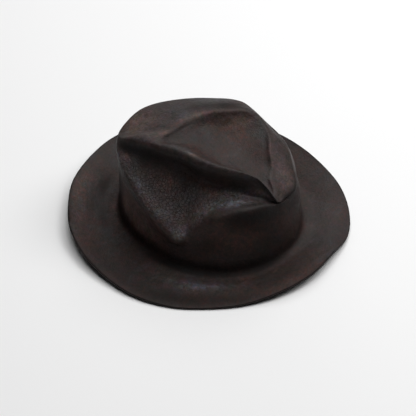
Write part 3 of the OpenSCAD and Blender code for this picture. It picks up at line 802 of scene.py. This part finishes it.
band = sweatband()
tape = reed_tape()
ribbon, knot = bow_ribbon(), bow_knot()
tab = size_tab()
pale_threads = [thread_row("tape_row", "tape_stitches", round_row(TAPE_ROW_Z, TAPE_STITCH))]
dark_threads = [
    thread_row("band_row", "band_stitches", round_row(BAND_ROW_Z, BAND_STITCH)),
    thread_row("joint_zigzag", "back_stitches", joint_zigzag()),
    thread_row("bow_tacks", "bow_stitches", tacks()),
    thread_row("tab_corners", "tab_stitches", tab_corners(), TAB_STAND + TAB_THICK)]


# ------------------------------------ materials

def new_material(name, specular=0.5):
    mat = bpy.data.materials.new(name)
    mat.use_nodes = True
    shader = mat.node_tree.nodes["Principled BSDF"]
    shader.inputs["Specular IOR Level"].default_value = specular
    return mat, mat.node_tree, shader


def add_node(tree, kind, inputs=None, **settings):
    """New node with its settings, and its inputs set to a value or linked from a socket."""
    item = tree.nodes.new(kind)
    for key, value in settings.items():
        setattr(item, key, value)
    for key, value in (inputs or {}).items():
        if isinstance(value, bpy.types.NodeSocket):
            tree.links.new(value, item.inputs[key])
        else:
            item.inputs[key].default_value = value
    return item


def object_coordinates(tree):
    return add_node(tree, "ShaderNodeTexCoord").outputs["Object"]


def noise_value(tree, where, size, detail=2.0, roughness=0.5, distortion=0.0):
    """Noise whose features are about this many millimetres across."""
    inputs = {"Vector": where, "Scale": 1 / (size * MM), "Detail": detail,
              "Roughness": roughness, "Distortion": distortion}
    return add_node(tree, "ShaderNodeTexNoise", inputs).outputs["Fac"]


def spread(tree, value, low, high, to_low=0.0, to_high=1.0):
    """Carries a value's range over to another range, and clips it there."""
    inputs = {"Value": value, "From Min": low, "From Max": high, "To Min": to_low, "To Max": to_high}
    return add_node(tree, "ShaderNodeMapRange", inputs).outputs["Result"]


def maths(tree, operation, a, b):
    return add_node(tree, "ShaderNodeMath", {0: a, 1: b}, operation=operation).outputs["Value"]


def times(tree, a, b):
    return maths(tree, "MULTIPLY", a, b)


def clipped(tree, value):
    return spread(tree, value, 0.0, 1.0)


def noise_to(tree, value, to_low=0.0, to_high=1.0):
    """Carries a noise's usual values, 0.3 to 0.7, over to another range."""
    return spread(tree, value, 0.3, 0.7, to_low, to_high)


def blend(tree, share, a, b, mode="MIX"):
    """Mix of two colours. Inputs 6 and 7 and output 2 are the node's colour sockets."""
    mix = add_node(tree, "ShaderNodeMix", data_type="RGBA", blend_type=mode)
    for socket, value in ((mix.inputs[0], share), (mix.inputs[6], a), (mix.inputs[7], b)):
        if isinstance(value, bpy.types.NodeSocket):
            tree.links.new(value, socket)
        else:
            socket.default_value = value if isinstance(value, float) else (*value, 1.0)
    return mix.outputs[2]


def grey(tree, value):
    """The same value in all three colour channels."""
    inputs = {"Red": value, "Green": value, "Blue": value}
    return add_node(tree, "ShaderNodeCombineColor", inputs).outputs["Color"]


def attribute(tree, name):
    return add_node(tree, "ShaderNodeAttribute", attribute_name=name).outputs["Fac"]


def bump_chain(tree, layers):
    """Bump nodes one after another: each layer is (height socket, strength, distance in millimetres)."""
    normal = None
    for height, strength, distance in layers:
        inputs = {"Height": height, "Strength": strength, "Distance": distance * MM}
        if normal is not None:
            inputs["Normal"] = normal
        normal = add_node(tree, "ShaderNodeBump", inputs).outputs["Normal"]
    return normal


def dressed(tree, shader, colour, rough, bumps):
    """Links a material's colour, roughness and bumps to its shader."""
    tree.links.new(colour, shader.inputs["Base Color"])
    tree.links.new(rough, shader.inputs["Roughness"])
    tree.links.new(bump_chain(tree, bumps), shader.inputs["Normal"])


def voronoi(tree, where, size, feature="F1"):
    """Distance in a cell pattern whose cells are about this many millimetres across."""
    inputs = {"Vector": where, "Scale": 1 / (size * MM)}
    return add_node(tree, "ShaderNodeTexVoronoi", inputs, feature=feature).outputs["Distance"]


def body_leather():
    """Waxed dark leather: umber with rust-red and blue-grey clouds, rubbed ridges, painted highlights
    and painted shade, fine grain.
    """
    mat, tree, shader = new_material("body_leather", 0.22)
    where = object_coordinates(tree)
    cloud = noise_value(tree, where, 40, 4, 0.6, 0.6)
    bloom = noise_value(tree, where, 26, 5, 0.65, 1.0)
    mottle = noise_value(tree, where, 5.5, 5, 0.7, 0.6)
    speck = noise_value(tree, where, 2.3, 4, 0.75)

    # Red and blue-grey clouds on umber, the blue-grey partly a painted highlight at the slate places,
    # then the rubbed ridges
    umber, rust, slate = (0.0146, 0.0095, 0.0084), (0.0290, 0.0125, 0.0088), (0.0180, 0.0187, 0.0207)
    reddened = maths(tree, "ADD", spread(tree, cloud, 0.45, 0.68, 0, 0.55),
                     times(tree, attribute(tree, "rust"), spread(tree, mottle, 0.3, 0.6)))
    colour = blend(tree, clipped(tree, reddened), umber, rust)
    blued = maths(tree, "ADD", spread(tree, bloom, 0.54, 0.70, 0, 0.6),
                  times(tree, attribute(tree, "slate"), spread(tree, mottle, 0.25, 0.6)))
    colour = blend(tree, clipped(tree, blued), colour, slate)
    worn = times(tree, attribute(tree, "wear"), spread(tree, mottle, 0.35, 0.65, 0.2, 0.8))
    colour = blend(tree, worn, colour, (0.027, 0.0215, 0.0205))

    # Light and dark mottle, times the painted highlights and painted shade of the tone places, and two
    # tints: blue to orange, and grey-green to pink
    shade = times(tree, noise_to(tree, mottle, 0.60, 1.46), noise_to(tree, speck, 0.64, 1.42))
    shade = times(tree, shade, attribute(tree, "painted_light_and_tone"))
    colour = blend(tree, 1.0, colour, grey(tree, shade), "MULTIPLY")
    for size, low, high in ((4, (0.87, 0.99, 1.10), (1.21, 0.98, 0.90)),
                            (11, (0.88, 1.04, 0.86), (1.10, 0.96, 1.12))):
        tint = spread(tree, noise_value(tree, where, size, 3, 0.7, 0.5), 0.35, 0.65)
        tint = blend(tree, tint, low, high)
        colour = blend(tree, 1.0, colour, tint, "MULTIPLY")

    # Dark cut edge, and suede on the flesh side
    colour = blend(tree, times(tree, attribute(tree, "cut"), 0.8), colour, (0.008, 0.005, 0.0045))
    flesh = blend(tree, mottle, (0.020, 0.013, 0.010), (0.036, 0.025, 0.020))
    under = spread(tree, attribute(tree, "flesh"), 0.6, 0.9)
    colour = blend(tree, under, colour, flesh)

    # Glossier where it is slate, duller in the hollows and on the flesh side
    rough = noise_to(tree, bloom, 0.60, 0.50)
    for change in (noise_to(tree, mottle, -0.07, 0.08),
                   times(tree, attribute(tree, "slate"), -0.12),
                   times(tree, under, 0.3),
                   spread(tree, attribute(tree, "painted_light_and_tone"), 0.4, 1.0, 0.28, 0)):
        rough = maths(tree, "ADD", rough, change)

    pebbles = voronoi(tree, where, 1.6)
    creases = voronoi(tree, where, 3.4, "DISTANCE_TO_EDGE")
    creased = times(tree, spread(tree, creases, 0.0, 0.12, 1, 0), attribute(tree, "slack"))
    hills = maths(tree, "SUBTRACT", noise_value(tree, where, 5, 5, 0.65), times(tree, creased, 0.6))
    dressed(tree, shader, colour, rough, [(hills, 0.9, 0.8), (pebbles, 0.5, 0.3), (speck, 0.5, 0.25)])
    return mat


TAPE_PITCH, RIB_PITCH = 0.7, 0.45


def woven(tree, where, pitch):
    """Height of a plain weave with this many millimetres to a thread."""
    parts = add_node(tree, "ShaderNodeSeparateXYZ", {"Vector": where}).outputs
    waves = []
    for axis in ("X", "Y"):
        waves.append(maths(tree, "SINE", times(tree, parts[axis], math.pi / pitch), 0.0))
    return times(tree, *waves)


def flat_coordinates(tree):
    return add_node(tree, "ShaderNodeAttribute", attribute_name="weave").outputs["Vector"]


def sweat_leather():
    """Smooth calf with pores, long soft stretch marks, and painted shade in its sewing holes and crease.
    """
    mat, tree, shader = new_material("sweat_leather", 0.35)
    where = object_coordinates(tree)
    cloud = noise_value(tree, where, 22, 4, 0.6, 0.5)
    grain = voronoi(tree, where, 0.9)
    colour = blend(tree, noise_to(tree, cloud), (0.048, 0.023, 0.012), (0.074, 0.037, 0.020))
    colour = blend(tree, spread(tree, grain, 0.1, 0.7, 0.3, 0), colour, (0.030, 0.015, 0.009))
    # Painted shade: darker in the sewing holes and the pressed crease
    colour = blend(tree, times(tree, attribute(tree, "groove"), 0.7), colour, (0.012, 0.007, 0.005))
    bumps = [(noise_value(tree, where, 5, 3, 0.6), 0.5, 0.3), (grain, 0.45, 0.12)]
    dressed(tree, shader, colour, noise_to(tree, cloud, 0.5, 0.64), bumps)
    return mat


def tab_leather():
    """Undyed leather with a fine grain and a slightly greasy bloom."""
    mat, tree, shader = new_material("tab_leather")
    where = object_coordinates(tree)
    cloud = noise_value(tree, where, 6, 4, 0.6)
    grain = voronoi(tree, where, 0.6)
    colour = blend(tree, noise_to(tree, cloud), (0.30, 0.205, 0.115), (0.42, 0.30, 0.18))
    colour = blend(tree, spread(tree, grain, 0.1, 0.7, 0.25, 0), colour, (0.18, 0.11, 0.06))
    dressed(tree, shader, colour, noise_to(tree, cloud, 0.55, 0.7), [(grain, 0.5, 0.1)])
    return mat


def tape_cloth(name, where_from):
    """Plain woven cotton tape, with painted light on the raised crossings of its threads and painted
    shade between them.
    """
    mat, tree, shader = new_material(name, 0.2)
    weave = woven(tree, where_from(tree), TAPE_PITCH)
    fuzz = noise_value(tree, object_coordinates(tree), 0.5, 3, 0.7)
    # Painted light and shade of the weave: lighter on the raised crossings, darker between them
    colour = blend(tree, spread(tree, weave, -1, 1), (0.009, 0.008, 0.008), (0.024, 0.021, 0.021))
    colour = blend(tree, spread(tree, fuzz, 0.4, 0.8, 0, 0.5), colour, (0.040, 0.036, 0.035))
    rough = noise_to(tree, fuzz, 0.8, 0.95)
    dressed(tree, shader, colour, rough, [(weave, 0.7, 0.15), (fuzz, 0.4, 0.1)])
    return mat


def millimetres(tree):
    """Object coordinates in millimetres, for a CAD node with none of its own."""
    inputs = {0: object_coordinates(tree), 3: 1 / MM}
    return add_node(tree, "ShaderNodeVectorMath", inputs, operation="SCALE").outputs["Vector"]


def satin():
    """Black satin ribbon: fine ribs across its run, and a silky sheen."""
    mat, tree, shader = new_material("satin")
    parts = add_node(tree, "ShaderNodeSeparateXYZ", {"Vector": flat_coordinates(tree)}).outputs
    ribs = maths(tree, "SINE", times(tree, parts["X"], 2 * math.pi / RIB_PITCH), 0.0)
    fibre = noise_value(tree, object_coordinates(tree), 0.8, 3, 0.6)
    colour = blend(tree, noise_to(tree, fibre), (0.008, 0.007, 0.008), (0.017, 0.015, 0.016))
    shader.inputs["Sheen Weight"].default_value = 0.3
    shader.inputs["Sheen Roughness"].default_value = 0.35
    dressed(tree, shader, colour, noise_to(tree, fibre, 0.30, 0.42), [(ribs, 0.35, 0.08)])
    return mat


def thread_material(name, dark, light):
    """Waxed thread with loose fibres that catch the light."""
    mat, tree, shader = new_material(name)
    fibre = noise_value(tree, object_coordinates(tree), 0.35, 3, 0.7, 1.0)
    colour = blend(tree, noise_to(tree, fibre), dark, light)
    dressed(tree, shader, colour, noise_to(tree, fibre, 0.45, 0.7), [(fibre, 0.5, 0.08)])
    return mat


def reed_plastic():
    """Ivory plastic rod with faint drawing marks and a soft gloss."""
    mat, tree, shader = new_material("reed_plastic")
    cloud = noise_value(tree, object_coordinates(tree), 9, 3, 0.6)
    marks = noise_value(tree, object_coordinates(tree), 0.6, 2)
    colour = blend(tree, noise_to(tree, cloud), (0.62, 0.60, 0.50), (0.74, 0.73, 0.65))
    dressed(tree, shader, colour, noise_to(tree, cloud, 0.38, 0.52), [(marks, 0.2, 0.05)])
    return mat


def wear_material(obj, mat):
    """Puts one material in all of an object's slots."""
    obj.data.materials.clear()
    obj.data.materials.append(mat)


wear_material(body, body_leather())
wear_material(band, sweat_leather())
wear_material(tab, tab_leather())
wear_material(tape, tape_cloth("tape_cloth", flat_coordinates))
wear_material(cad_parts["back_tape"], tape_cloth("back_tape_cloth", millimetres))
wear_material(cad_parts["reed"], reed_plastic())
for pieces, look in (
        ((ribbon, knot), satin()),
        (pale_threads, thread_material("pale_thread", (0.10, 0.055, 0.028), (0.22, 0.13, 0.075))),
        (dark_threads, thread_material("dark_thread", (0.006, 0.004, 0.003), (0.016, 0.011, 0.009)))):
    for piece in pieces:
        wear_material(piece, look)


# ------------------------------------ floor, light and camera

FLOOR = 6  # half of its side, in metres
floor_mesh = bpy.data.meshes.new("floor")
floor_mesh.from_pydata(
    [(-FLOOR, -FLOOR, 0), (FLOOR, -FLOOR, 0), (FLOOR, FLOOR, 0), (-FLOOR, FLOOR, 0)],
    [], [(0, 1, 2, 3)])
floor = put_in_scene("floor", floor_mesh)
floor_mat, _, floor_shader = new_material("floor_paper")
floor_shader.inputs["Base Color"].default_value = (0.86, 0.86, 0.86, 1)
floor_shader.inputs["Roughness"].default_value = 0.9
floor_mesh.materials.append(floor_mat)

VIEW_AZIMUTH, VIEW_ELEVATION, VIEW_DISTANCE = -45, 40, 1.5
LENS = 117.9
# Where the hat sits in the frame: small moves of the camera to its left and up
SLIDE_LEFT, SLIDE_UP = 0.00165, 0.0044

# Soft round lights: [azimuth, elevation, size, power]
LIGHTS = {
    "key": (58, 52, 1.7, 36), "side": (122, 45, 1.4, 17), "overhead": (0, 90, 1.7, 26),
    "back": (150, 20, 1.2, 5)}
LIGHT_DISTANCE = 2.4
HAT_MIDDLE = Vector((0, 0, 0.05))


def direction(azimuth, elevation):
    """Unit vector away from the hat. The azimuth turns from the front to the wearer's left."""
    a, e = math.radians(azimuth), math.radians(elevation)
    return Vector((math.sin(a) * math.cos(e), -math.cos(a) * math.cos(e), math.sin(e)))


back = direction(VIEW_AZIMUTH, VIEW_ELEVATION)
right = direction(VIEW_AZIMUTH + 90, 0)
up = back.cross(right)
camera_data = bpy.data.cameras.new("camera")
camera_data.lens = LENS
camera = put_in_scene("camera", camera_data)
crown_foot = Vector(SHIFT * MM)
camera.location = crown_foot + back * VIEW_DISTANCE - right * SLIDE_LEFT + up * SLIDE_UP
camera.rotation_euler = back.to_track_quat("Z", "Y").to_euler()
bpy.context.scene.camera = camera

for light_name, (azimuth, elevation, size, power) in LIGHTS.items():
    light = bpy.data.lights.new(light_name, "AREA")
    light.shape = "DISK"
    light.size = size
    light.energy = power
    lamp = put_in_scene(light_name, light)
    away = direction(azimuth, elevation)
    lamp.location = HAT_MIDDLE + away * LIGHT_DISTANCE
    lamp.rotation_euler = away.to_track_quat("Z", "Y").to_euler()

world = bpy.data.worlds.new("studio")
bpy.context.scene.world = world
world.use_nodes = True
background = world.node_tree.nodes["Background"].inputs
background["Color"].default_value = (0.9, 0.93, 1.0, 1)
background["Strength"].default_value = 0.02
bpy.context.scene.view_settings.view_transform = "Standard"
